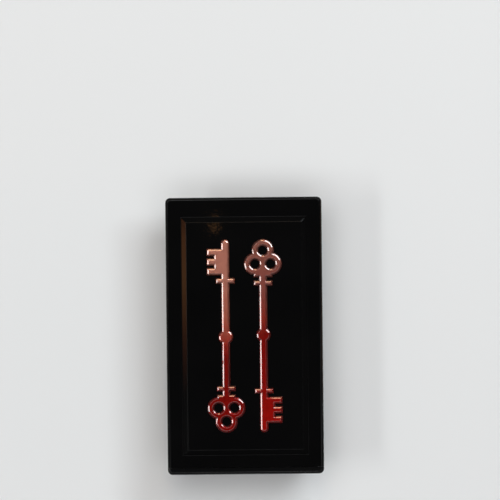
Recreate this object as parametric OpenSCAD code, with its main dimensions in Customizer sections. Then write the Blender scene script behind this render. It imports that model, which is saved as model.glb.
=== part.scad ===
// Magnetic key box: a tray with a sliding lid. A ferrite magnet between two steel
// pole plates sits in a pocket in the tray's back. Millimetres, +Z out through the
// lid, +Y the way the lid slides, origin on the surface that the magnet holds to.

/* [Box] */
// Outside width of the closed box
box_w = 44; // [42:0.5:60]
// Outside length of the closed box
box_l = 78; // [72:0.5:110]
// Height from the plastic back to the rim of the lid
box_h = 15.4; // [14.5:0.1:24]
// Radius of the upright corners of the lid
corner_r = 1.4; // [1.1:0.1:2]
// Radius rolled over the lid's top edge
edge_r = 0.8; // [0.4:0.05:1]

/* [Lid] */
// Thickness of the lid's plate
lid_t = 1.6; // [1.2:0.05:2.2]
// Thickness of the lid's skirts and end wall
skirt_t = 1.5; // [1.1:0.05:2]
// How far each lip reaches in under the tray's rail
lip_w = 1.4; // [0.8:0.05:2]
// Thickness of each lip
lip_t = 1.4; // [1:0.05:2]
// From the box's side to the foot of the raised panel's bevel
panel_side = 4.3; // [3:0.1:8]
// From the box's end to the foot of the raised panel's bevel
panel_end = 5.5; // [4:0.1:9]
// Height of the raised panel above the rim
panel_rise = 0.8; // [0.4:0.05:1.2]
// Width of the panel's bevel seen from the front
bevel_w = 1.5; // [0.8:0.05:2.5]

/* [Finger grip] */
// Number of grooves in each skirt
grip_count = 6; // [3:1:8]
// Width of one groove
grip_w = 0.9; // [0.5:0.05:1.2]
// Distance from one groove to the next
grip_pitch = 1.8; // [1.4:0.05:2.4]
// Depth of a groove
grip_d = 0.35; // [0.2:0.05:0.5]
// From the lid's closed end to the middle of the first groove
grip_start = 4.4; // [3.5:0.1:8]
// Plain band left between the grooves and the rim
grip_top = 1.4; // [1.1:0.05:2]

/* [Fits] */
// Running gap at each side of a rail
side_gap = 0.25; // [0.15:0.01:0.4]
// Running gap above and below a rail
slide_gap = 0.2; // [0.12:0.01:0.35]
// Gap at the stop, between the lid and the tray's headwall
stop_gap = 0.15; // [0.05:0.01:0.3]
// Gap that a detent ridge keeps to the rail
detent_gap = 0.05; // [0.03:0.01:0.1]

/* [Tray] */
// Thickness of the tray's walls
wall_t = 1.5; // [1.1:0.05:2]
// Thickness of the tray's floor
floor_t = 1.5; // [1.1:0.05:2]
// How far each wall leans in between the lid and the back
lean = 0.5; // [0.2:0.05:0.9]
// Radius of the tray's upright corners
tray_r = 2.6; // [2:0.1:4]
// Width of the chamfer round the back
foot_chamfer = 0.7; // [0.3:0.05:1]
// Thickness of each rail
rail_t = 1.5; // [1.1:0.05:2]
// Length of the lead-in on a rail's free end
lead_in = 1; // [0.4:0.1:1.2]
// Thickness of the headwall that the lid stops against
head_t = 1.9; // [1.3:0.05:3]
// Height of the ribs on the floor
rib_h = 0.8; // [0.5:0.05:1.2]
// Thickness of the ribs on the floor
rib_t = 0.9; // [0.6:0.05:1.4]
// From the middle of the box to each pair of ribs
rib_y = 15; // [8:0.5:20]

/* [Detent] */
// Width of the ridge on each skirt
detent_w = 1; // [0.6:0.05:1.6]
// Room at each side of the ridge in its notch
detent_room = 0.3; // [0.15:0.05:0.5]
// Depth of the notch in the rail
notch_d = 0.35; // [0.25:0.05:0.6]
// From the headwall to the middle of the ridge
detent_y = 6; // [3:0.1:12]

/* [Magnet] */
// Length of the magnet and its plates
magnet_l = 46; // [30:0.5:50]
// Width of the magnet
magnet_w = 9; // [6:0.1:11]
// Thickness of the magnet
magnet_h = 5.1; // [3.5:0.1:6]
// Thickness of each pole plate
plate_t = 1.5; // [1:0.05:2]
// How far the pole plates stand out of the plastic back
plate_proud = 0.6; // [0.3:0.05:1]
// How far the magnet lies behind the plates' edges
magnet_recess = 0.5; // [0.3:0.05:1.5]
// Gap between the magnet stack and the pocket's walls
pocket_gap = 0.2; // [0.1:0.02:0.3]
// Thickness of the pocket's walls
pocket_wall = 1.2; // [0.9:0.05:1.6]
// Thickness of the pocket's roof
pocket_roof = 1.2; // [0.9:0.05:1.6]
// Number of crush ribs on each long side of the pocket
crush_count = 3; // [1:1:6]
// Width of the crush ribs that grip the plates
crush_w = 0.8; // [0.5:0.05:1.2]
// Thickness of the adhesive bed
glue_t = 0.3; // [0.15:0.05:0.5]

/* [Key relief] */
// Length of each raised key
key_l = 54; // [46:0.5:58]
// Distance between the two keys' shanks
key_pitch = 10.6; // [9:0.1:13]
// Width of the shank
shank_w = 2; // [1.2:0.05:2.4]
// Outer radius of each ring of the bow
ring_r = 3; // [2.2:0.05:3.4]
// Width of a ring's stroke
ring_stroke = 1.6; // [1:0.05:1.9]
// Number of teeth in each key's bit
teeth = 3; // [2:1:4]
// How far a tooth of the bit reaches from the shank
tooth_l = 4; // [2.5:0.1:4.6]
// Width of one tooth
tooth_w = 1.7; // [1:0.05:2]
// Distance from one tooth to the next
tooth_pitch = 2.7; // [2.2:0.05:3.4]
// From the key's tip to its first tooth
tip_l = 2.6; // [1:0.1:5]
// Width of a collar across the shank
collar_w = 5; // [3.2:0.1:6]
// Length of a collar along the shank
collar_l = 1.2; // [0.8:0.05:1.6]
// Bare shank between two collars
collar_gap = 1.2; // [0.6:0.05:2]
// Radius of the bead in the middle of the shank
bead_r = 1.9; // [1.3:0.1:2.4]
// Height of the moulded key above the panel
relief_h = 0.55; // [0.3:0.05:0.8]
// Thickness of the foil layer
foil_t = 0.15; // [0.08:0.01:0.25]

/* [Hidden] */
$fn = 48;
over = 1;   // how far a cutter passes the face that it cuts
sink = 0.4; // how far an added feature runs into the body that carries it

// Heights
z_back = plate_proud;
z_rim = z_back + box_h;
z_plate = z_rim - lid_t;
z_rail_top = z_plate - slide_gap;
z_rail = z_rail_top - rail_t;
z_lip = z_rail - slide_gap;
z_skirt = z_lip - lip_t;
z_panel = z_rim + panel_rise;
z_relief = z_panel + relief_h;
z_floor = z_back + floor_t;
z_stack = magnet_recess + magnet_h;
z_roof = z_stack + glue_t;
z_hump = z_roof + pocket_roof;
z_foot = z_back + foot_chamfer;

// Half widths, from the outside in
x_out = box_w / 2;
x_skirt = x_out - skirt_t;
x_rail = x_skirt - side_gap;
x_lip = x_skirt - lip_w;
x_wall = x_lip - side_gap;
x_room = x_wall - wall_t;

// Places along the box, from the headwall to the lid's closed end
y_out = box_l / 2;
y_head = head_t - y_out;
y_lid = y_head + stop_gap;
y_detent = y_head + detent_y;
y_cap = y_out - skirt_t;
y_wall = y_cap - side_gap;
y_room = y_wall - wall_t;

// The magnet stack and its pocket
x_plate = magnet_w / 2;
x_stack = x_plate + plate_t;
x_pocket = x_stack + pocket_gap;
y_pocket = magnet_l / 2 + pocket_gap;
x_hump = x_pocket + pocket_wall;
y_hump = y_pocket + pocket_wall;

ridge_d = side_gap - detent_gap;

// The keys: the three rings of a bow share a stroke where they meet
hole_r = ring_r - ring_stroke;
ring_step = ring_r - ring_stroke / 2;
bow_y = key_l / 2 - ring_r;
low_ring_y = bow_y - ring_step * sqrt(3);
tip_y = shank_w / 2 - key_l / 2;
bit_y = tip_l - key_l / 2;
bit_l = (teeth - 1) * tooth_pitch + tooth_w;
neck_y = low_ring_y - ring_r - collar_gap / 2;

// A box between two corners
module block(low, high) {
    translate(low) cube(high - low);
}

// Two children, one at each side of the box
module both_sides() {
    children();
    mirror([1, 0, 0]) children();
}

// Upright slice of the closed box's top: flat sides and a rounded top edge
module rim_profile(half, height) {
    translate([-half, 0]) square([2 * half, height - edge_r]);
    translate([edge_r - half, 0]) square([2 * (half - edge_r), height]);
    for (side = [-1, 1]) translate([side * (half - edge_r), height - edge_r]) circle(edge_r);
}

// The closed box's top, shared by the lid and the headwall so that they meet flush
module rim_slab() {
    height = z_rim - z_skirt;
    flat_x = x_out - corner_r;
    flat_y = y_out - corner_r;
    translate([0, 0, z_skirt]) {
        translate([0, flat_y, 0]) rotate([90, 0, 0]) linear_extrude(2 * flat_y)
            rim_profile(x_out, height);
        translate([-flat_x, 0, 0]) rotate([90, 0, 90]) linear_extrude(2 * flat_x)
            rim_profile(y_out, height);
        for (x = [-flat_x, flat_x], y = [-flat_y, flat_y])
            translate([x, y, 0]) rotate_extrude() intersection() {
                rim_profile(corner_r, height);
                square([corner_r, height]);
            }
    }
}

// A block with rounded upright corners whose walls follow a list of [inset, height] steps
module stepped_block(half_x, y0, y1, r, steps) {
    translate([0, y1 - r, 0]) rotate([90, 0, 0]) linear_extrude(y1 - y0 - 2 * r)
        stepped_profile(-half_x, half_x, steps);
    translate([r - half_x, 0, 0]) rotate([90, 0, 90]) linear_extrude(2 * (half_x - r))
        stepped_profile(y0, y1, steps);
    for (x = [r - half_x, half_x - r], y = [y0 + r, y1 - r])
        translate([x, y, 0]) rotate_extrude() intersection() {
            stepped_profile(-r, r, steps);
            square([r, z_rim + over]);
        }
}

module stepped_profile(low, high, steps) {
    last = len(steps) - 1;
    polygon(concat([for (s = steps) [high - s[0], s[1]]],
                   [for (i = [last : -1 : 0]) [low + steps[i][0], steps[i][1]]]));
}

// The raised panel: a low frustum, its foot at z and its sides bevelled in all round
module panel(z, inset) {
    foot_x = x_out - panel_side - inset;
    foot_y = y_out - panel_end - inset;
    root = -lid_t / 2;
    intersection() {
        translate([0, foot_y, z]) rotate([90, 0, 0]) linear_extrude(2 * foot_y)
            panel_profile(foot_x, root);
        translate([-foot_x, 0, z]) rotate([90, 0, 90]) linear_extrude(2 * foot_x)
            panel_profile(foot_y, root);
    }
}

module panel_profile(half, root) {
    polygon([[-half, root], [half, root], [half, 0], [half - bevel_w, panel_rise],
             [bevel_w - half, panel_rise], [-half, 0]]);
}

// Outline of one raised key, bow at +Y and bit towards +X, centred on its length
module key_outline() {
    difference() {
        union() {
            key_rings(ring_r);
            key_shank();
            key_bit();
        }
        key_rings(hole_r);
    }
}

module key_rings(r) {
    translate([0, bow_y]) circle(r);
    for (side = [-1, 1]) translate([side * ring_step, low_ring_y]) circle(r);
}

// Round-tipped shank with two collars under the bow, one above the bit and a bead between
module key_shank() {
    bit_top = bit_y + bit_l + collar_gap;
    translate([-shank_w / 2, tip_y]) square([shank_w, low_ring_y - tip_y]);
    translate([0, tip_y]) circle(shank_w / 2);
    for (y = [neck_y, neck_y - collar_l - collar_gap, bit_top])
        translate([-collar_w / 2, y]) square([collar_w, collar_l]);
    translate([0, (neck_y + bit_top) / 2]) circle(bead_r);
}

// Teeth of full length, joined by a web of half their length
module key_bit() {
    for (i = [0 : teeth - 1])
        translate([0, bit_y + i * tooth_pitch]) square([shank_w / 2 + tooth_l, tooth_w]);
    translate([0, bit_y]) square([(shank_w + tooth_l) / 2, bit_l]);
}

// The left key has its bow at the bottom, the right one at the top
module key_at(side) {
    translate([side * key_pitch / 2, 0]) rotate(side < 0 ? 180 : 0) key_outline();
}

// Grooves that a finger pushes against, in both skirts near the closed end
module grip_grooves() {
    both_sides()
        for (i = [0 : grip_count - 1]) {
            y = y_out - grip_start - i * grip_pitch;
            block([x_out - grip_d, y - grip_w / 2, z_skirt - over],
                  [x_out + over, y + grip_w / 2, z_rim - grip_top]);
        }
}

module slide_lid() {
    color([0.02, 0.02, 0.022]) {
        difference() {
            union() {
                intersection() {
                    rim_slab();
                    block([-box_w, y_lid, 0], [box_w, box_l, z_panel]);
                }
                panel(z_rim, 0);
            }
            block([-x_skirt, y_lid - over, z_lip], [x_skirt, y_cap, z_plate]);
            block([-x_lip, y_lid - over, z_skirt - over], [x_lip, y_cap, z_plate]);
            panel(z_plate, lid_t);
            grip_grooves();
        }
        both_sides() block([x_skirt - ridge_d, y_detent - detent_w / 2, z_lip - sink],
                           [x_skirt + sink, y_detent + detent_w / 2, z_plate + sink]);
        translate([0, 0, z_rim]) linear_extrude(z_relief - z_rim) {
            key_at(-1);
            key_at(1);
        }
    }
}

module foil_key(side) {
    color([0.72, 0.3, 0.22])
        translate([0, 0, z_relief]) linear_extrude(foil_t) key_at(side);
}

// Outer form of the tray: chamfered round the back, leaning to the skirts, then upright
module tray_body() {
    stepped_block(x_wall, -y_out, y_wall, tray_r,
                  [[lean + foot_chamfer, z_back], [lean, z_foot], [0, z_skirt], [0, z_rail_top]]);
}

// The room for the keys
module tray_room() {
    stepped_block(x_room, y_head, y_room, tray_r - wall_t + lean,
                  [[lean, z_floor], [0, z_skirt], [0, z_rail_top + over]]);
}

// One rail, with a lead-in at its free end and a notch for the lid's detent ridge
module rail() {
    root = x_wall - wall_t / 2;
    y_end = y_wall - tray_r;
    notch = detent_w / 2 + detent_room;
    translate([0, 0, z_rail]) linear_extrude(z_rail_top - z_rail) difference() {
        polygon([[root, y_head - sink], [x_rail, y_head - sink], [x_rail, y_end - lead_in],
                 [x_wall, y_end], [root, y_end]]);
        translate([x_rail - notch_d, y_detent - notch]) square([notch_d + over, 2 * notch]);
    }
}

// Housing of the magnet: a hump on the floor, and its pocket open at the back
module magnet_hump() {
    block([-x_hump, -y_hump, z_floor - sink], [x_hump, y_hump, z_hump]);
}

module magnet_pocket() {
    block([-x_pocket, -y_pocket, z_back - over], [x_pocket, y_pocket, z_roof]);
}

module crush_ribs() {
    both_sides()
        for (i = [1 : crush_count]) {
            y = -y_pocket + i * 2 * y_pocket / (crush_count + 1);
            block([x_stack, y - crush_w / 2, z_foot],
                  [x_pocket + sink, y + crush_w / 2, z_roof + sink]);
        }
}

module floor_ribs() {
    both_sides()
        for (y = [-rib_y, rib_y])
            block([x_hump - sink, y - rib_t / 2, z_floor - sink],
                  [x_room, y + rib_t / 2, z_floor + rib_h]);
}

module tray() {
    color([0.03, 0.03, 0.032]) {
        difference() {
            union() {
                difference() {
                    tray_body();
                    tray_room();
                }
                both_sides() rail();
                floor_ribs();
                magnet_hump();
                intersection() {
                    rim_slab();
                    block([-box_w, -box_l, 0], [box_w, y_head, z_panel]);
                }
            }
            magnet_pocket();
        }
        crush_ribs();
    }
}

module magnet_block() {
    color([0.16, 0.16, 0.17])
        block([-x_plate, -magnet_l / 2, magnet_recess], [x_plate, magnet_l / 2, z_stack]);
}

module pole_plate() {
    color([0.62, 0.62, 0.6])
        block([x_plate, -magnet_l / 2, 0], [x_stack, magnet_l / 2, z_stack]);
}

module magnet_adhesive() {
    color([0.75, 0.6, 0.3])
        block([-x_stack, -magnet_l / 2, z_stack], [x_stack, magnet_l / 2, z_roof]);
}

tray();
slide_lid();
foil_key(-1);  // foil_key_left
foil_key(1);  // foil_key_right
magnet_block();
mirror([1, 0, 0]) pole_plate();  // pole_plate_left
pole_plate();  // pole_plate_right
magnet_adhesive();
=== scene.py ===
import math
import random

import bmesh
import bpy
import numpy as np
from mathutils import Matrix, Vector, noise
from mathutils.geometry import delaunay_2d_cdt


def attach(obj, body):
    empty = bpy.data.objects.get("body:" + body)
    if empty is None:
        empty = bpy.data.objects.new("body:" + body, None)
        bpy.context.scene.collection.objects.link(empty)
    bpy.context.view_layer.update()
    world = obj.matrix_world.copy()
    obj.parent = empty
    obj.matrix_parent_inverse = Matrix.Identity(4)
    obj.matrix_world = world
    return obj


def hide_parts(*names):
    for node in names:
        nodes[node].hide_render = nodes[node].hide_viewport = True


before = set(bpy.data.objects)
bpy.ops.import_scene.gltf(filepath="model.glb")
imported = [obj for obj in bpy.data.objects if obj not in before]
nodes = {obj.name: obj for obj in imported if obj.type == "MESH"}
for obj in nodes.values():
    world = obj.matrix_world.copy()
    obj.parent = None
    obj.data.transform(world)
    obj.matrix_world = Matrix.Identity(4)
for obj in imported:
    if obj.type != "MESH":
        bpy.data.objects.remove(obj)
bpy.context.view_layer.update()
mm = 0.001


def linkObject(name, data):
    made = bpy.data.objects.new(name, data)
    bpy.context.scene.collection.objects.link(made)
    return made


def linkPiece(name, mesh, body, material):
    piece = linkObject(name, mesh)
    mesh.materials.append(material)
    mesh.shade_smooth()
    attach(piece, body)
    return piece


def meshFrom(name, points, faces):
    # points in mm
    mesh = bpy.data.meshes.new(name)
    mesh.from_pydata([tuple(c * mm for c in p) for p in points], [], [tuple(f) for f in faces])
    mesh.validate()
    mesh.update()
    return mesh


def closedPiece(name, points, faces, body, material, sharpDegrees=None):
    # all faces are turned outward; edges sharper than this stay sharp
    mesh = meshFrom(name, points, faces)
    bm = bmesh.new()
    bm.from_mesh(mesh)
    bmesh.ops.recalc_face_normals(bm, faces=bm.faces)
    bm.to_mesh(mesh)
    bm.free()
    piece = linkPiece(name, mesh, body, material)
    if sharpDegrees:
        mesh.set_sharp_from_angle(angle=math.radians(sharpDegrees))
    return piece


def circle(sides):
    turns = [2 * math.pi * s / sides for s in range(sides)]
    return [(math.cos(turn), math.sin(turn)) for turn in turns]


def turnedFaces(first, rings, sides):
    # walls between rings of points, and a cap on the last ring and on the first
    faces = []
    for k in range(rings - 1):
        for s in range(sides):
            a = first + k * sides + s
            b = first + k * sides + (s + 1) % sides
            faces.append((a, b, b + sides, a + sides))
    last = first + (rings - 1) * sides
    faces.append(tuple(range(last, last + sides)))
    faces.append(tuple(range(first, first + sides)))
    return faces


def feed(tree, socket, value):
    # the value is another node's socket, or a number or colour
    if isinstance(value, bpy.types.NodeSocket):
        tree.links.new(value, socket)
    else:
        socket.default_value = value


def blankMaterial(name, evenLooks):
    # looks that are the same all over are set on the shader's own sockets
    material = bpy.data.materials.new(name)
    material.use_nodes = True
    tree = material.node_tree
    shader = tree.nodes["Principled BSDF"]
    for socket, value in evenLooks.items():
        shader.inputs[socket].default_value = value
    return material, tree, shader


def addNode(tree, kind, **settings):
    node = tree.nodes.new(kind)
    for key, value in settings.items():
        if key in node.inputs:
            node.inputs[key].default_value = value
        else:
            setattr(node, key, value)
    return node


def calc(tree, operation, *values):
    node = addNode(tree, "ShaderNodeMath", operation=operation)
    for socket, value in zip(node.inputs, values):
        feed(tree, socket, value)
    return node.outputs[0]


def offBy(tree, value, target):
    return calc(tree, "ABSOLUTE", calc(tree, "SUBTRACT", value, target))


def between(tree, value, low, high, interpolation="SMOOTHSTEP"):
    # 0 at low and 1 at high
    node = addNode(tree, "ShaderNodeMapRange", interpolation_type=interpolation)
    node.inputs["From Min"].default_value = low
    node.inputs["From Max"].default_value = high
    feed(tree, node.inputs["Value"], value)
    return node.outputs["Result"]


def axesOf(tree, kind, output):
    # X, Y and Z of an input node's output
    source = addNode(tree, kind)
    split = addNode(tree, "ShaderNodeSeparateXYZ")
    tree.links.new(source.outputs[output], split.inputs["Vector"])
    return split.outputs


def noiseAt(tree, scale, detail=3.0, roughness=0.5, stretch=(1, 1, 1)):
    place = addNode(tree, "ShaderNodeTexCoord")
    mapping = addNode(tree, "ShaderNodeMapping", Scale=stretch)
    grain = addNode(tree, "ShaderNodeTexNoise", Scale=scale, Detail=detail, Roughness=roughness)
    tree.links.new(place.outputs["Object"], mapping.inputs["Vector"])
    tree.links.new(mapping.outputs["Vector"], grain.inputs["Vector"])
    return grain.outputs["Fac"]


def ramp(tree, source, stops):
    # each stop is a position and a colour, or a number for a grey
    stops = list(stops)
    node = addNode(tree, "ShaderNodeValToRGB")
    elements = node.color_ramp.elements
    while len(elements) < len(stops):
        elements.new(0.5)
    for element, (position, tone) in zip(elements, stops):
        element.position = position
        element.color = (*tone, 1) if isinstance(tone, tuple) else (tone, tone, tone, 1)
    tree.links.new(source, node.inputs["Fac"])
    return node.outputs["Color"]


def mixColours(tree, factor, first, second, blend="MIX"):
    node = addNode(tree, "ShaderNodeMix", data_type="RGBA", blend_type=blend)
    factorSocket, firstColour, secondColour, colourResult = 0, 6, 7, 2
    feed(tree, node.inputs[factorSocket], factor)
    feed(tree, node.inputs[firstColour], first)
    feed(tree, node.inputs[secondColour], second)
    return node.outputs[colourResult]


def mixShaders(tree, factor, first, second):
    node = addNode(tree, "ShaderNodeMixShader")
    for socket, value in zip(node.inputs, (factor, first, second)):
        feed(tree, socket, value)
    return node.outputs[0]


def bumpInto(tree, shader, layers, inputs=("Normal",)):
    # each layer is a height socket, its strength and its depth in metres
    below = None
    for height, strength, depth in layers:
        bump = addNode(tree, "ShaderNodeBump", Strength=strength, Distance=depth)
        tree.links.new(height, bump.inputs["Height"])
        if below:
            tree.links.new(below, bump.inputs["Normal"])
        below = bump.outputs["Normal"]
    for name in inputs:
        tree.links.new(below, shader.inputs[name])


def nearEdge(tree, half, middle, level):
    # distance in metres to the nearest edge of an upright block with a face at this level
    x, y, z = axesOf(tree, "ShaderNodeTexCoord", "Object")
    gaps = []
    for place, centre, reach in zip((x, y), middle, half):
        gaps.append(offBy(tree, offBy(tree, place, centre * mm), reach * mm))
    up = offBy(tree, z, level * mm)
    least = calc(tree, "MINIMUM", *gaps)
    most = calc(tree, "MAXIMUM", *gaps)
    return calc(tree, "MAXIMUM", least, calc(tree, "MINIMUM", most, up))


mouldTexture = {
    # levels of each noise where its first and its second tone are reached
    "specks": (0.44, 0.62), "mottle": (0.3, 0.75), "patches": (0.42, 0.7), "shine": (0.3, 0.7),
    "flat": (0.93, 0.985),    # how upright the surface stands on a bevel, and on a flat face
    "rubbedShine": 0.1,       # rubbed edges are smoother by this
}


def mouldedPlastic(name, settings):
    evenLooks = {"Specular IOR Level": settings["gloss"], "Coat Roughness": settings["skinRough"]}
    material, tree, shader = blankMaterial(name, evenLooks)
    stops = mouldTexture
    # on flat faces the mould's texture breaks up the plastic's glossy skin; its bevels are even,
    # and dull at the foot, where the mould's polish doesn't reach
    low, even, high = settings["skin"]
    specks = ramp(tree, noiseAt(tree, settings["speckScale"], 1), zip(stops["specks"], (low, high)))
    upright = calc(tree, "ABSOLUTE", axesOf(tree, "ShaderNodeNewGeometry", "Normal")["Z"])
    flat = ramp(tree, upright, zip(stops["flat"], (0, 1)))
    foot, near, far = settings["foot"]
    fromFoot = offBy(tree, axesOf(tree, "ShaderNodeTexCoord", "Object")["Z"], foot * mm)
    bevel = calc(tree, "MULTIPLY", between(tree, fromFoot, near * mm, far * mm), even)
    lift = calc(tree, "MULTIPLY", calc(tree, "SUBTRACT", specks, bevel), flat)
    feed(tree, shader.inputs["Coat Weight"], calc(tree, "ADD", lift, bevel))
    # edges that hands rub are a little paler and smoother
    gaps = [nearEdge(tree, *edge) for edge in settings["edges"]]
    closest = gaps[0]
    for gap in gaps[1:]:
        closest = calc(tree, "MINIMUM", closest, gap)
    rubbed = between(tree, closest, settings["rubWidth"] * mm, 0.0)
    patches = ramp(tree, noiseAt(tree, settings["patchScale"], 5, 0.65),
                   zip(stops["patches"], (0, settings["wear"])))
    wear = calc(tree, "MULTIPLY", rubbed, patches)
    tint = ramp(tree, noiseAt(tree, settings["mottleScale"], 2),
                zip(stops["mottle"], (settings["dark"], settings["light"])))
    feed(tree, shader.inputs["Base Color"], mixColours(tree, wear, tint, (*settings["rubbed"], 1)))
    # spark-eroded grain of the mould: fine pits over a softer ripple
    grain = noiseAt(tree, settings["grainScale"], 2, 0.6)
    ripple = noiseAt(tree, settings["rippleScale"], 1)
    shine = ramp(tree, grain, zip(stops["shine"], settings["rough"]))
    smoother = calc(tree, "MULTIPLY", wear, stops["rubbedShine"])
    feed(tree, shader.inputs["Roughness"], calc(tree, "SUBTRACT", shine, smoother))
    bumpInto(tree, shader, [(ripple, settings["ripple"], settings["grainDepth"]),
                            (grain, settings["grain"], settings["grainDepth"])],
             ("Normal", "Coat Normal"))
    return material


lidFinish = {
    "dark": (0.0014, 0.0014, 0.0015), "light": (0.0022, 0.0021, 0.0022),
    "rubbed": (0.006, 0.0058, 0.0056), "wear": 0.5, "rubWidth": 0.3,
    "gloss": 0.01, "rough": (0.34, 0.48),
    "skin": (0.38, 0.34, 0.58), "skinRough": 0.035,  # gloss in the pits, on bevels and on the peaks
    "foot": (16.0, 0.05, 0.17),                      # mm: its level, dull to here, even from here
    "mottleScale": 60, "patchScale": 420, "speckScale": 2600,
    "grainScale": 1700, "rippleScale": 760,
    "grain": 0.015, "ripple": 0.085, "grainDepth": 0.00006,
    # half size, middle and level in mm: the lid's rim, then the raised panel
    "edges": [((22, 39), (0, 0), 16.0), ((16.2, 32), (0, 0), 16.8)],
    "roll": 0.16,                                    # mm, width of the rolled edges
}
trayFinish = {
    "dark": (0.0016, 0.0016, 0.0018), "light": (0.003, 0.0029, 0.003),
    "rubbed": (0.011, 0.0106, 0.0102), "wear": 0.7, "rubWidth": 0.45,
    "gloss": 0.02, "rough": (0.4, 0.54),
    "skin": (0.3, 0.4, 0.5), "skinRough": 0.09, "foot": (0.0, 0.0, 0.1),
    "mottleScale": 50, "patchScale": 380, "speckScale": 2200,
    "grainScale": 2600, "rippleScale": 300,
    "grain": 0.1, "ripple": 0.08, "grainDepth": 0.00006,
    # round the back, at the top of the walls, and the headwall's own rim
    "edges": [((17.65, 36.925), (0, -0.875), 0.6), ((17.35, 36.425), (0, -0.675), 14.2),
              ((22, 39), (0, 0), 16.0)],
    "roll": 0.2,
}
lidPlastic = mouldedPlastic("lidGrainedPlastic", lidFinish)
trayPlastic = mouldedPlastic("trayPlastic", trayFinish)


rolledEdges = {
    "weld": 1e-6,           # metres
    "flatDegrees": 0.6,     # facets that meet at less than this are one face
    "sharpDegrees": 20,     # edges sharper than this are rolled
    "steps": 3,
}


def softenNode(name, material, width):
    # no moulded or stamped part has knife edges: merge the flat facets, then roll every sharp edge
    node = nodes[name]
    weld = node.modifiers.new("weld", "WELD")
    weld.merge_threshold = rolledEdges["weld"]
    flat = node.modifiers.new("mergeFlats", "DECIMATE")
    flat.decimate_type = "DISSOLVE"
    flat.angle_limit = math.radians(rolledEdges["flatDegrees"])
    roll = node.modifiers.new("rollEdges", "BEVEL")
    roll.width = width * mm
    roll.segments = rolledEdges["steps"]
    roll.limit_method = "ANGLE"
    roll.angle_limit = math.radians(rolledEdges["sharpDegrees"])
    roll.use_clamp_overlap = True
    roll.harden_normals = False
    even = node.modifiers.new("evenNormals", "WEIGHTED_NORMAL")
    even.keep_sharp = True
    node.data.materials.clear()
    node.data.materials.append(material)
    node.data.shade_smooth()


softenNode("slide_lid", lidPlastic, lidFinish["roll"])
softenNode("tray", trayPlastic, trayFinish["roll"])
print("lid and tray done")


foilSkin = {
    # distance out from the key's outline, and height, in mm: down the side to the foot, a flat
    # bevel that catches the light, then the flat top
    "profile": [(0.24, 16.78), (0.18, 16.94), (0.12, 17.1), (0.07, 17.22), (0.03, 17.288),
                (0.0, 17.3137), (-0.01, 17.3182), (-0.37, 17.4815), (-0.38, 17.486),
                (-0.43, 17.4945), (-0.5, 17.4985), (-0.6, 17.5)],
    "gridStep": 0.08, "margin": 3,    # mm, and cells round the outline
    "slack": 0.003,                   # mm that a line may stray where points are left out
    "slopeStep": 0.02,                # mm to each side, for the slope of the distance
    "leastSlope": 0.3, "leastRise": 0.05,
}


def profileTilt(profile):
    # tilt of the surface at each point of the profile: mean of the runs beside it, flat at the end
    runs = np.diff(profile, axis=0)
    tilt = np.arctan2(runs[:, 1], -runs[:, 0])
    return np.concatenate([[tilt[0]], (tilt[:-1] + tilt[1:]) / 2, [0.0]])


def keyOutline(node, upright=0.9, near=1e-5, digits=4):
    # boundary of the flat top of the foil solid, as segments in mm
    mesh = node.data
    lowest = max(v.co.z for v in mesh.vertices) - near
    seen = {}
    for polygon in mesh.polygons:
        corners = [mesh.vertices[i].co for i in polygon.vertices]
        if polygon.normal.z < upright or min(c.z for c in corners) < lowest:
            continue
        keys = [(round(c.x / mm, digits), round(c.y / mm, digits)) for c in corners]
        for a, b in zip(keys, keys[1:] + keys[:1]):
            edge = (min(a, b), max(a, b))
            seen[edge] = seen.get(edge, 0) + 1
    return np.array([edge for edge, count in seen.items() if count == 1], float)


def signedDistance(points, segments, batch=4000):
    # below zero inside the outline; the points go through in batches, to save memory
    a, b = segments[:, 0], segments[:, 1]
    along = b - a
    square = (along ** 2).sum(1)
    out = np.empty(len(points))
    for start in range(0, len(points), batch):
        p = points[start:start + batch, None, :]
        t = np.clip(((p - a) * along).sum(2) / square, 0, 1)
        nearest = a + t[..., None] * along
        near = np.sqrt(((p - nearest) ** 2).sum(2)).min(1)
        crosses = (a[:, 1] > p[..., 1]) != (b[:, 1] > p[..., 1])
        with np.errstate(divide="ignore", invalid="ignore"):
            x = a[:, 0] + (p[..., 1] - a[:, 1]) * along[:, 0] / along[:, 1]
        inside = (crosses & (p[..., 0] < x)).sum(1) % 2 == 1
        out[start:start + batch] = np.where(inside, -near, near)
    return out


def contours(xs, ys, field, level):
    # closed lines where the field crosses the level, by marching squares
    above = field > level
    corners = above[:-1, :-1].astype(int) + above[1:, :-1] + above[1:, 1:] + above[:-1, 1:]
    links = {}
    for i, j in np.argwhere((corners > 0) & (corners < 4)):
        square = [(i, j), (i + 1, j), (i + 1, j + 1), (i, j + 1)]
        cut = []
        for p, q in zip(square, square[1:] + square[:1]):
            if above[p] != above[q]:
                cut.append((min(p, q), max(p, q)))
        for one, other in zip(cut[::2], cut[1::2]):
            links.setdefault(one, []).append(other)
            links.setdefault(other, []).append(one)
    loops = []
    left = set(links)
    while left:
        start = here = min(left)
        left.discard(start)
        loop, came = [start], None
        while True:
            ahead = links[here][0] if links[here][0] != came else links[here][1]
            if ahead == start:
                break
            loop.append(ahead)
            left.discard(ahead)
            came, here = here, ahead
        line = []
        for (i, j), (k, l) in loop:
            t = (level - field[i, j]) / (field[k, l] - field[i, j])
            line.append((xs[i] + t * (xs[k] - xs[i]), ys[j] + t * (ys[l] - ys[j])))
        loops.append(np.array(line))
    return loops


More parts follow.
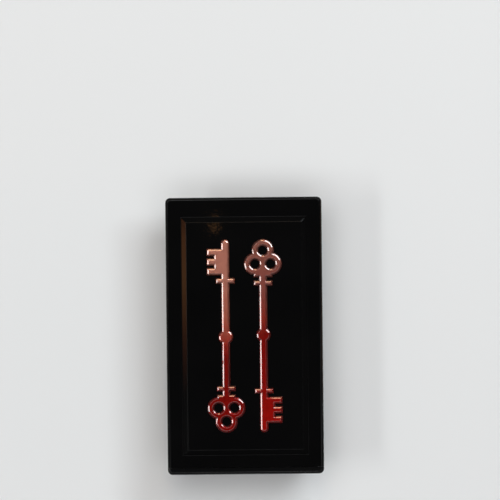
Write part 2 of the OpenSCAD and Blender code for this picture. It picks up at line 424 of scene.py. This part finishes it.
def fewerPoints(line, slack):
    # keeps the points of an open line that lie more than the slack off the straight run
    if len(line) < 3:
        return line
    along = line[-1] - line[0]
    length = np.linalg.norm(along)
    off = line - line[0]
    if length < 1e-9:
        away = np.linalg.norm(off, axis=1)
    else:
        away = np.abs(off[:, 0] * along[1] - off[:, 1] * along[0]) / length
    worst = int(away.argmax())
    if away[worst] < slack:
        return line[[0, -1]]
    return np.vstack([fewerPoints(line[:worst + 1], slack)[:-1], fewerPoints(line[worst:], slack)])


def smoothNormals(mesh, outline, profile, settings):
    # normals from the outline's distance, so that slim faces don't show in the shine
    flat = np.array([(v.co.x / mm, v.co.y / mm) for v in mesh.vertices])
    step = settings["slopeStep"]
    slope = np.stack([signedDistance(flat + e, outline) - signedDistance(flat - e, outline)
                      for e in (np.array([step, 0]), np.array([0, step]))], 1) / (2 * step)
    tilt = np.interp(signedDistance(flat, outline), profile[::-1, 0], profileTilt(profile)[::-1])
    size = np.maximum(np.linalg.norm(slope, axis=1), settings["leastSlope"])
    out = slope / size[:, None] * np.sin(tilt)[:, None]
    normals = np.c_[out, np.maximum(np.cos(tilt), settings["leastRise"])]
    normals /= np.linalg.norm(normals, axis=1)[:, None]
    mesh.normals_split_custom_set_from_vertices([tuple(n) for n in normals])


def foilPiece(pieceName, nodeName, settings, material):
    outline = keyOutline(nodes[nodeName])
    profile = np.array(settings["profile"])
    foot, step = profile[0, 0], settings["gridStep"]
    ends = outline.reshape(-1, 2)
    reach = foot + settings["margin"] * step
    low, high = ends.min(0) - reach, ends.max(0) + reach
    xs, ys = np.arange(low[0], high[0], step), np.arange(low[1], high[1], step)
    grid = np.stack(np.meshgrid(xs, ys, indexing="ij"), -1).reshape(-1, 2)
    field = signedDistance(grid, outline).reshape(len(xs), len(ys))
    # one ring of points for each step of the profile, then triangles between the rings
    points, edges = [], []
    for distance in profile[:, 0]:
        for loop in contours(xs, ys, field, distance):
            ring = fewerPoints(np.vstack([loop, loop[:1]]), settings["slack"])[:-1]
            first, count = len(points), len(ring)
            points += [Vector(p) for p in ring]
            edges += [(first + i, first + (i + 1) % count) for i in range(count)]
    flat, _, faces, _, _, _ = delaunay_2d_cdt(points, edges, [], 0, 1e-6)
    flat = np.array([tuple(p) for p in flat])
    middles = np.array([flat[list(face)].mean(0) for face in faces])
    off = signedDistance(middles, outline)
    kept = [face for face, d in zip(faces, off) if d < foot - settings["slack"]]
    rise = np.interp(signedDistance(flat, outline), profile[::-1, 0], profile[::-1, 1])
    mesh = meshFrom(pieceName, np.c_[flat, rise], kept)
    bm = bmesh.new()
    bm.from_mesh(mesh)
    bmesh.ops.delete(bm, geom=[v for v in bm.verts if not v.link_faces], context="VERTS")
    bm.to_mesh(mesh)
    bm.free()
    piece = linkPiece(pieceName, mesh, "lid", material)
    smoothNormals(mesh, outline, profile, settings)
    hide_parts(nodeName)


foilFinish = {
    # the foil's own deep red from the headwall's end, turning a rosy tan towards the lid's closed end
    # as a painted reflection; on the right key that end stays darker, as painted shade
    "leftRedWithPaintedReflection": [(0.0, (0.22, 0.0022, 0.001)), (0.41, (0.17, 0.003, 0.001)),
                  (0.49, (0.28, 0.02, 0.012)), (0.6, (0.38, 0.095, 0.06)),
                  (0.78, (0.41, 0.155, 0.11))],
    "rightRedWithPaintedReflectionAndShade": [(0.0, (0.31, 0.003, 0.001)), (0.46, (0.18, 0.003, 0.0015)),
                   (0.55, (0.26, 0.026, 0.015)), (0.67, (0.23, 0.058, 0.044)),
                   (0.9, (0.24, 0.085, 0.06))],
    "reach": 0.0325, "slant": -0.35,        # metres from the middle, and shift along per metre across
    "driftScale": 260, "drift": 0.14,
    # by how upright it stands, painted shade: darker and redder down the sides, full on the bevel,
    # dark where it rolls over the shoulder, and full on top
    "paintedSideAndShoulderShade": [(0.3, (0.8, 0.42, 0.32)), (0.88, 1), (0.915, 1),
                 (0.955, (0.5, 0.36, 0.36)), (0.988, (0.5, 0.36, 0.36)), (0.999, 1)],
    "metal": 0.85, "gloss": 0.1, "shineScale": 900, "rough": [(0.3, 0.3), (0.75, 0.42)],
    "lacquer": 1.0, "lacquerRough": 0.05, "lacquerIor": 1.7,
    # scale, detail, strength and depth of the waves that it was pressed with
    "waves": [(300, 1, 0.36, 0.0003), (2400, 2, 0.12, 0.00003)],
}


def foilMaterial(name, stops, settings):
    evenLooks = {"Metallic": settings["metal"], "Specular IOR Level": settings["gloss"],
                 "Coat Weight": settings["lacquer"], "Coat Roughness": settings["lacquerRough"],
                 "Coat IOR": settings["lacquerIor"]}
    material, tree, shader = blankMaterial(name, evenLooks)
    place = axesOf(tree, "ShaderNodeTexCoord", "Object")
    # painted reflection: the tone runs aslant along the lid, deep red below and rosy tan towards the
    # closed end
    aslant = calc(tree, "ADD", place["Y"], calc(tree, "MULTIPLY", place["X"], settings["slant"]))
    span = between(tree, aslant, -settings["reach"], settings["reach"], "LINEAR")
    # the tone drifts a little where the foil was pressed unevenly
    uneven = calc(tree, "SUBTRACT", noiseAt(tree, settings["driftScale"]), 0.5)
    drift = calc(tree, "MULTIPLY", uneven, settings["drift"])
    tint = ramp(tree, calc(tree, "ADD", span, drift), stops)
    # painted shade by how upright the foil stands: down its sides and along the rolled shoulder
    upright = axesOf(tree, "ShaderNodeNewGeometry", "Normal")["Z"]
    paintedSideAndShoulderShade = ramp(tree, upright, settings["paintedSideAndShoulderShade"])
    feed(tree, shader.inputs["Base Color"], mixColours(tree, 1.0, tint, paintedSideAndShoulderShade, "MULTIPLY"))
    feed(tree, shader.inputs["Roughness"],
         ramp(tree, noiseAt(tree, settings["shineScale"]), settings["rough"]))
    waves = [(noiseAt(tree, scale, detail), strength, depth)
             for scale, detail, strength, depth in settings["waves"]]
    bumpInto(tree, shader, waves, ("Normal", "Coat Normal"))
    return material


leftFoil = foilMaterial("redFoilPaintedReflectionLeft", foilFinish["leftRedWithPaintedReflection"], foilFinish)
rightFoil = foilMaterial("redFoilPaintedReflectionRight", foilFinish["rightRedWithPaintedReflectionAndShade"], foilFinish)
foilPiece("foil_skin_left", "foil_key_left", foilSkin, leftFoil)
foilPiece("foil_skin_right", "foil_key_right", foilSkin, rightFoil)
print("foil done")


# grains: scale, detail, roughness and stretch of each; bumps: grain, strength and depth in metres
ferriteFinish = {
    "grains": {"pores": (1400, 5, 0.65), "ground": (500, 3, 0.6, (14, 0.6, 1))},
    "tint": ("pores", [(0.35, (0.014, 0.0145, 0.016)), (0.7, (0.05, 0.051, 0.055))]),
    "shine": ("pores", [(0.3, 0.7), (0.7, 0.48)]),
    "bumps": [("ground", 0.25, 0.00004), ("pores", 0.5, 0.00008)],
    "evenLooks": {"Specular IOR Level": 0.45},
}
poleSteelFinish = {
    "grains": {"drawn": (900, 4, 0.6, (6, 0.35, 6)), "spangle": (240, 3, 0.6)},
    "tint": ("spangle", [(0.3, (0.45, 0.45, 0.44)), (0.7, (0.66, 0.655, 0.63))]),
    "shine": ("drawn", [(0.3, 0.24), (0.7, 0.44)]),
    "bumps": [("drawn", 0.3, 0.00005)],
    "evenLooks": {"Metallic": 1.0},
    "roll": 0.15,
}
epoxyFinish = {
    "grains": {"cloud": (600, 3)},
    "tint": ("cloud", [(0.3, (0.42, 0.22, 0.05)), (0.7, (0.6, 0.38, 0.13))]),
    "shine": ("cloud", [(0.3, 0.16), (0.7, 0.3)]),
    "bumps": [("cloud", 0.2, 0.00006)],
    "evenLooks": {"Subsurface Weight": 0.3, "Subsurface Radius": (0.001, 0.0006, 0.0002)},
    "roll": 0.05,
}


def magnetStackMaterial(name, settings):
    # the magnet, its plates and their adhesive differ only in their grains and tones
    material, tree, shader = blankMaterial(name, settings["evenLooks"])
    grains = {key: noiseAt(tree, *grain) for key, grain in settings["grains"].items()}
    for socket, look in (("Base Color", "tint"), ("Roughness", "shine")):
        grain, stops = settings[look]
        feed(tree, shader.inputs[socket], ramp(tree, grains[grain], stops))
    bumpInto(tree, shader, [(grains[grain], strength, depth)
                            for grain, strength, depth in settings["bumps"]])
    return material


ferrite = magnetStackMaterial("sinteredFerrite", ferriteFinish)
poleSteel = magnetStackMaterial("zincPlatedSteel", poleSteelFinish)
epoxy = magnetStackMaterial("amberEpoxy", epoxyFinish)
softenNode("pole_plate_left", poleSteel, poleSteelFinish["roll"])
softenNode("pole_plate_right", poleSteel, poleSteelFinish["roll"])
softenNode("magnet_adhesive", epoxy, epoxyFinish["roll"])


ferriteBlock = {
    "half": (4.5, 23.0), "face": 0.5, "back": 5.6,   # mm, as the solid that it stands for
    "step": 0.25,
    "chips": 46, "chipSize": (0.25, 0.95), "chipDepth": (0.08, 0.42),
    "longSides": 0.72,                               # share of the chips on the long sides
    "outset": 0.3, "squash": 0.8, "steep": 1.6,      # a chip's middle off the edge, and its form
    "grit": 0.012, "gritScale": 2.1, "gritSlice": 3.0, "seed": 11, "sharpDegrees": 32,
}


def chippedMagnet(settings, material):
    # sintered block: its face is ground flat and its edges have small chips broken out
    halfX, halfY = settings["half"]
    step, outset, gritScale = settings["step"], settings["outset"], settings["gritScale"]
    dice = random.Random(settings["seed"])
    chips = []
    for _ in range(settings["chips"]):
        size = dice.uniform(*settings["chipSize"])
        if dice.random() < settings["longSides"]:
            spot = (dice.choice((-1, 1)) * (halfX + size * outset), dice.uniform(-halfY, halfY))
        else:
            spot = (dice.uniform(-halfX, halfX), dice.choice((-1, 1)) * (halfY + size * outset))
        chips.append((*spot, size, dice.uniform(*settings["chipDepth"]) * size))
    countX, countY = round(2 * halfX / step), round(2 * halfY / step)
    points = []
    for i in range(countX + 1):
        for j in range(countY + 1):
            x, y = -halfX + i * step, -halfY + j * step
            depth = 0.0
            for cx, cy, size, deep in chips:
                near = math.hypot(x - cx, (y - cy) * settings["squash"]) / size
                if near < 1:
                    depth = max(depth, deep * min(1, settings["steep"] * (1 - near)))
            rough = noise.noise((x * gritScale, y * gritScale, settings["gritSlice"]))
            points.append((x, y, settings["face"] + depth + max(settings["grit"] * rough, 0)))
    row = countY + 1
    faces = [(i * row + j, i * row + j + 1, (i + 1) * row + j + 1, (i + 1) * row + j)
             for i in range(countX) for j in range(countY)]
    rim = [i * row for i in range(countX + 1)]
    rim += [countX * row + j for j in range(1, countY + 1)]
    rim += [i * row + countY for i in range(countX - 1, -1, -1)]
    rim += list(range(countY - 1, 0, -1))
    base = len(points)
    points += [(points[i][0], points[i][1], settings["back"]) for i in rim]
    count = len(rim)
    faces += [(rim[k], rim[(k + 1) % count], base + (k + 1) % count, base + k) for k in range(count)]
    faces.append(tuple(range(base, base + count)))
    piece = closedPiece("magnet_chipped", points, faces, "case", material,
                        settings["sharpDegrees"])
    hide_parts("magnet_block")


chippedMagnet(ferriteBlock, ferrite)


glueLine = {
    "inner": (6.0, 23.0), "outer": (6.2, 23.2),   # mm, the magnet stack and the pocket's wall
    "step": 0.45, "seed": 5,
    "waveScale": 0.35, "fineScale": 1.7,
    "low": 1.12, "waver": 0.16,                   # level of the glue in the gap, and how it varies
    "deep": 1.5, "lap": 0.03,                     # level of its root, and how far it laps both walls
    "spillFrom": 0.22, "spillGain": 5,            # height of the wave where it spills, and how fast
    "spillLevel": 0.5, "spillReach": 0.7,         # where it was squeezed out on to the back
    "sharpDegrees": 50,
}


def gluedGap(settings, material):
    # adhesive that rose round the magnet stack, with a few smears over the pocket's edge
    (ix, iy), (ox, oy) = settings["inner"], settings["outer"]
    seed, lap, deep = settings["seed"], settings["lap"], settings["deep"]
    waveScale, fineScale = settings["waveScale"], settings["fineScale"]
    corners = [(1, 1), (-1, 1), (-1, -1), (1, -1)]
    stations = []
    for (ax, ay), (bx, by) in zip(corners, corners[1:] + corners[:1]):
        length = 2 * (ix if ax != bx else iy)
        count = max(2, round(length / settings["step"]))
        for k in range(count):
            t = k / count
            stations.append((ax + (bx - ax) * t, ay + (by - ay) * t))
    points, faces = [], []
    for sx, sy in stations:
        inner = Vector((sx * ix, sy * iy))
        outer = Vector((sx * ox, sy * oy))
        out = (outer - inner).normalized()
        wave = noise.noise((inner.x * waveScale, inner.y * waveScale, seed))
        fine = noise.noise((inner.x * fineScale, inner.y * fineScale, seed + 4))
        swell = min(1, max(0, (wave - settings["spillFrom"]) * settings["spillGain"]))
        spill = swell * (0.75 + 0.5 * fine)
        level = settings["low"] + settings["waver"] * fine
        top = level + (settings["spillLevel"] - level) * spill
        edge = outer + out * (lap + settings["spillReach"] * spill)
        middle = (inner + edge) / 2
        start = inner - out * lap
        section = [(start, top - 0.05), (middle, top), (edge - out * 0.02, top + 0.02 + 0.05 * spill),
                   (edge, top + 0.1 + 0.12 * spill), (outer + out * lap, deep), (start, deep)]
        points += [(p.x, p.y, z) for p, z in section]
    count = len(stations)
    across = len(points) // count
    for k in range(count):
        for c in range(across):
            a, b = k * across, (k + 1) % count * across
            d = (c + 1) % across
            faces.append((a + c, a + d, b + d, b + c))
    closedPiece("glue_line", points, faces, "case", material, settings["sharpDegrees"])


gluedGap(glueLine, epoxy)
print("magnet done")


pinMarks = {
    # distance from the middle and height in mm: a low disc with a rolled edge and a slight dish
    "section": [(1.5, -0.08), (1.5, 0.025), (1.458, 0.05), (1.38, 0.045), (1.26, 0.0225),
                (0.675, 0.02)],
    "sides": 40,
    # middles in mm: beside the magnet's housing, on its roof, and under the lid's panel
    "trayFloor": [(12.3, -29), (12.3, 0), (12.3, 29), (-12.3, -29), (-12.3, 0), (-12.3, 29)],
    "floorLevel": 2.1,
    "housing": [(0, -16), (0, 16)], "housingLevel": 7.1,
    "lid": [(10, -24), (10, 0), (10, 24), (-10, -24), (-10, 0), (-10, 24)], "lidLevel": 15.2,
}


def discMarks(name, spots, settings, body, material):
    # where the mould's ejector pins pushed
    points, faces = [], []
    section, rim = settings["section"], circle(settings["sides"])
    for x, y, level, up in spots:
        faces += turnedFaces(len(points), len(section), len(rim))
        points += [(x + r * c, y + r * s, level + up * z) for r, z in section for c, s in rim]
    closedPiece(name, points, faces, body, material)


floorSpots = [(x, y, pinMarks["floorLevel"], 1) for x, y in pinMarks["trayFloor"]]
roofSpots = [(x, y, pinMarks["housingLevel"], 1) for x, y in pinMarks["housing"]]
lidSpots = [(x, y, pinMarks["lidLevel"], -1) for x, y in pinMarks["lid"]]
discMarks("tray_pin_marks", floorSpots + roofSpots, pinMarks, "case", trayPlastic)
discMarks("lid_pin_marks", lidSpots, pinMarks, "lid", lidPlastic)


gateScar = {
    "middle": (0, 30.2), "level": 0.6,       # mm, on the tray's back beyond the magnet
    # distance from the middle and height in mm: a low ring, then the stub and its torn top
    "section": [(2.4, -0.06), (2.34, 0.04), (2.2, 0.055), (2.06, 0.03), (0.89, 0.025),
                (0.75, 0.07), (0.69, 0.16), (0.3, 0.16)],
    "stub": 5, "ragged": 0.06,               # the stub's first ring, and how far it is out of round
    "torn": 6, "tear": 0.05,                 # the first ring of its top, and its roughness in mm
    "noiseSize": 2, "sides": 36, "seed": 9,
}


def gateMark(settings, material):
    # stub of the runner, cut off by hand
    x, y = settings["middle"]
    section, rim = settings["section"], circle(settings["sides"])
    points = []
    for k, (r, z) in enumerate(section):
        for c, s in rim:
            place = (c * settings["noiseSize"], s * settings["noiseSize"], settings["seed"] + k)
            uneven = noise.noise(place)
            wide = r * (1 + settings["ragged"] * uneven) if k >= settings["stub"] else r
            tear = settings["tear"] * uneven if k >= settings["torn"] else 0
            points.append((x + wide * c, y + wide * s, settings["level"] - z - tear))
    faces = turnedFaces(0, len(section), len(rim))
    closedPiece("gate_scar", points, faces, "case", material)


gateMark(gateScar, trayPlastic)
print("mould marks done")


studio = {
    "floorSize": 3.0, "floorSides": 96,
    "opening": (0.0145, 0.034),    # half size of a hole under the box, for light on its back
    "floorColour": (0.82, 0.825, 0.83), "floorRough": 0.9, "floorGloss": 0.1,
    "fade": (0.2, 0.8),            # metres from the middle where the floor turns into the backdrop
    "backdrop": (0.9, 0.905, 0.91),
    "walls": (0.065, 0.065, 0.067),
    "ceiling": (0.014, 0.014, 0.015),
    # sines of the heights where the pale backdrop ends, the walls begin and end, and the ceiling begins
    "bands": (0.1, 0.36, 0.74, 0.93),
}


def floorPiece(settings):
    size = settings["floorSize"]
    halfX, halfY = settings["opening"]
    points, faces = [], []
    for x, y in circle(settings["floorSides"]):
        shrink = 1 / max(abs(x) / halfX, abs(y) / halfY)
        points += [(x * shrink, y * shrink, 0), (x * size, y * size, 0)]
    for a in range(0, len(points), 2):
        b = (a + 2) % len(points)
        faces.append((a, a + 1, b + 1, b))
    mesh = bpy.data.meshes.new("floor")
    mesh.from_pydata(points, [], faces)
    mesh.update()
    floor = linkObject("floor", mesh)
    evenLooks = {"Roughness": settings["floorRough"], "Specular IOR Level": settings["floorGloss"],
                 "Base Color": (*settings["floorColour"], 1)}
    material, tree, shader = blankMaterial("paleFloor", evenLooks)
    # far off the floor fades into the backdrop, so no horizon shows
    place = addNode(tree, "ShaderNodeTexCoord")
    away = addNode(tree, "ShaderNodeVectorMath", operation="LENGTH")
    tree.links.new(place.outputs["Object"], away.inputs[0])
    fade = between(tree, away.outputs["Value"], *settings["fade"])
    glow = addNode(tree, "ShaderNodeEmission", Color=(*settings["backdrop"], 1), Strength=1.0)
    faded = mixShaders(tree, fade, shader.outputs[0], glow.outputs[0])
    # seen from below the floor is clear, so that the back of the box can be looked at
    side = addNode(tree, "ShaderNodeNewGeometry")
    clear = addNode(tree, "ShaderNodeBsdfTransparent")
    onlyTop = mixShaders(tree, side.outputs["Backfacing"], faded, clear.outputs[0])
    feed(tree, tree.nodes["Material Output"].inputs["Surface"], onlyTop)
    mesh.materials.append(material)


def studioWorld(settings):
    # a room with a pale backdrop, grey walls and a dim ceiling
    world = bpy.data.worlds.new("studioWorld")
    bpy.context.scene.world = world
    world.use_nodes = True
    tree = world.node_tree
    height = axesOf(tree, "ShaderNodeTexCoord", "Generated")["Z"]
    tones = [settings[k] for k in ("backdrop", "walls", "walls", "ceiling")]
    feed(tree, tree.nodes["Background"].inputs["Color"],
         ramp(tree, height, zip(settings["bands"], tones)))


def lamp(name, azimuth, elevation, distance, aim, size, power, colour, fade=None):
    # azimuth from +X towards +Y; the lamp points at its aim, and may fade along its width
    data = bpy.data.lights.new(name, "AREA")
    data.shape = "RECTANGLE"
    data.size, data.size_y = size
    data.energy = power
    data.color = colour
    made = linkObject(name, data)
    turn, rise = math.radians(azimuth), math.radians(elevation)
    ray = Vector((math.cos(turn) * math.cos(rise), math.sin(turn) * math.cos(rise), math.sin(rise)))
    made.location = Vector(aim) + ray * distance
    made.rotation_euler = (-ray).to_track_quat("-Z", "Y").to_euler()
    made.visible_camera = False
    if fade:
        data.use_nodes = True
        tree = data.node_tree
        across = axesOf(tree, "ShaderNodeNewGeometry", "Parametric")["X"]
        feed(tree, tree.nodes["Emission"].inputs["Color"], ramp(tree, across, fade))


lidMiddle = (0, 0, 0.016)
leftBevel = (-0.017, 0.012, 0.016)
rightRim = (0.022, 0.015, 0.0155)
upperLeft = (-0.0155, 0.0372, 0.02)
white = (1.0, 1.0, 1.0)
# the strip that the left bevel mirrors glows most by the top, and goes red and dark below
warmFade = [(0.12, (0.5, 0.16, 0.05)), (0.21, (0.9, 0.32, 0.1)), (0.4, (0.95, 0.38, 0.12)),
            (0.7, (0.32, 0.08, 0.02)), (0.94, (0, 0, 0))]
# name, azimuth, elevation, distance, aim, width and height, power, colour
lamps = [
    # broad softboxes on the diagonals, so that the panel's four bevels don't mirror them
    ("softboxBackLeft", 132, 66, 1.1, lidMiddle, (0.6, 0.5), 2.15, white),
    ("softboxBackRight", 60, 68, 1.1, lidMiddle, (0.6, 0.4), 1.4, white),
    ("softboxFrontLeft", 238, 66, 1.1, lidMiddle, (0.6, 0.5), 1.45, white),
    ("softboxFrontRight", 312, 66, 1.1, lidMiddle, (0.6, 0.5), 1.4, (0.97, 0.985, 1.0)),
    # smaller ones that the foil's bevels mirror
    ("keyRight", 47, 42.5, 0.95, lidMiddle, (0.66, 0.12), 3.7, (0.9, 0.97, 1.0)),
    ("keyLeft", 190, 41.5, 0.95, lidMiddle, (0.46, 0.1), 1.75, (0.93, 0.97, 0.96)),
    ("keyBack", 92, 43, 0.95, lidMiddle, (0.2, 0.13), 0.55, (1.0, 0.68, 0.4)),
    # low warm strips: the panel's left bevel mirrors one, the lid's right edge the other
    ("warmLeft", 181.5, 32.4, 0.9, leftBevel, (0.135, 0.14), 0.182, white, warmFade),
    ("warmRight", 0, 12, 0.9, rightRim, (0.16, 0.06), 0.25, (1.0, 0.46, 0.24)),
    # small and overhead: it glints on the grain near the lid's upper left
    ("glint", 0, 90, 0.5, upperLeft, (0.002, 0.007), 0.00012, (1.0, 0.46, 0.15)),
]

floorPiece(studio)
studioWorld(studio)
for lampSettings in lamps:
    lamp(*lampSettings)

photo = {
    "pixels": 500,
    "boxCentre": (244.65, 335.8),  # of the box's outline in the photo
    "mmPerPixel": 0.2815,
    "turnDegrees": 0.6,            # the box stands a little anticlockwise
    "distance": 0.7,               # from the rim of the lid
    "rimHeight": 0.0155,
    "sensor": 36, "clip": (0.01, 20),
}


def photoCamera(settings):
    data = bpy.data.cameras.new("photoCamera")
    camera = linkObject("photoCamera", data)
    turn = -math.radians(settings["turnDegrees"])
    right = Vector((math.cos(turn), math.sin(turn)))
    up = Vector((-math.sin(turn), math.cos(turn)))
    middle = settings["pixels"] / 2
    pixel = settings["mmPerPixel"] * mm
    across = (middle - settings["boxCentre"][0]) * pixel
    upward = (settings["boxCentre"][1] - middle) * pixel
    spot = right * across + up * upward
    camera.location = (spot.x, spot.y, settings["rimHeight"] + settings["distance"])
    camera.rotation_euler = (0, 0, turn)
    data.sensor_width = settings["sensor"]
    data.lens = data.sensor_width * settings["distance"] / (settings["pixels"] * pixel)
    data.clip_start, data.clip_end = settings["clip"]
    bpy.context.scene.camera = camera


photoCamera(photo)
bpy.context.scene.view_settings.view_transform = "Standard"
print("studio done")
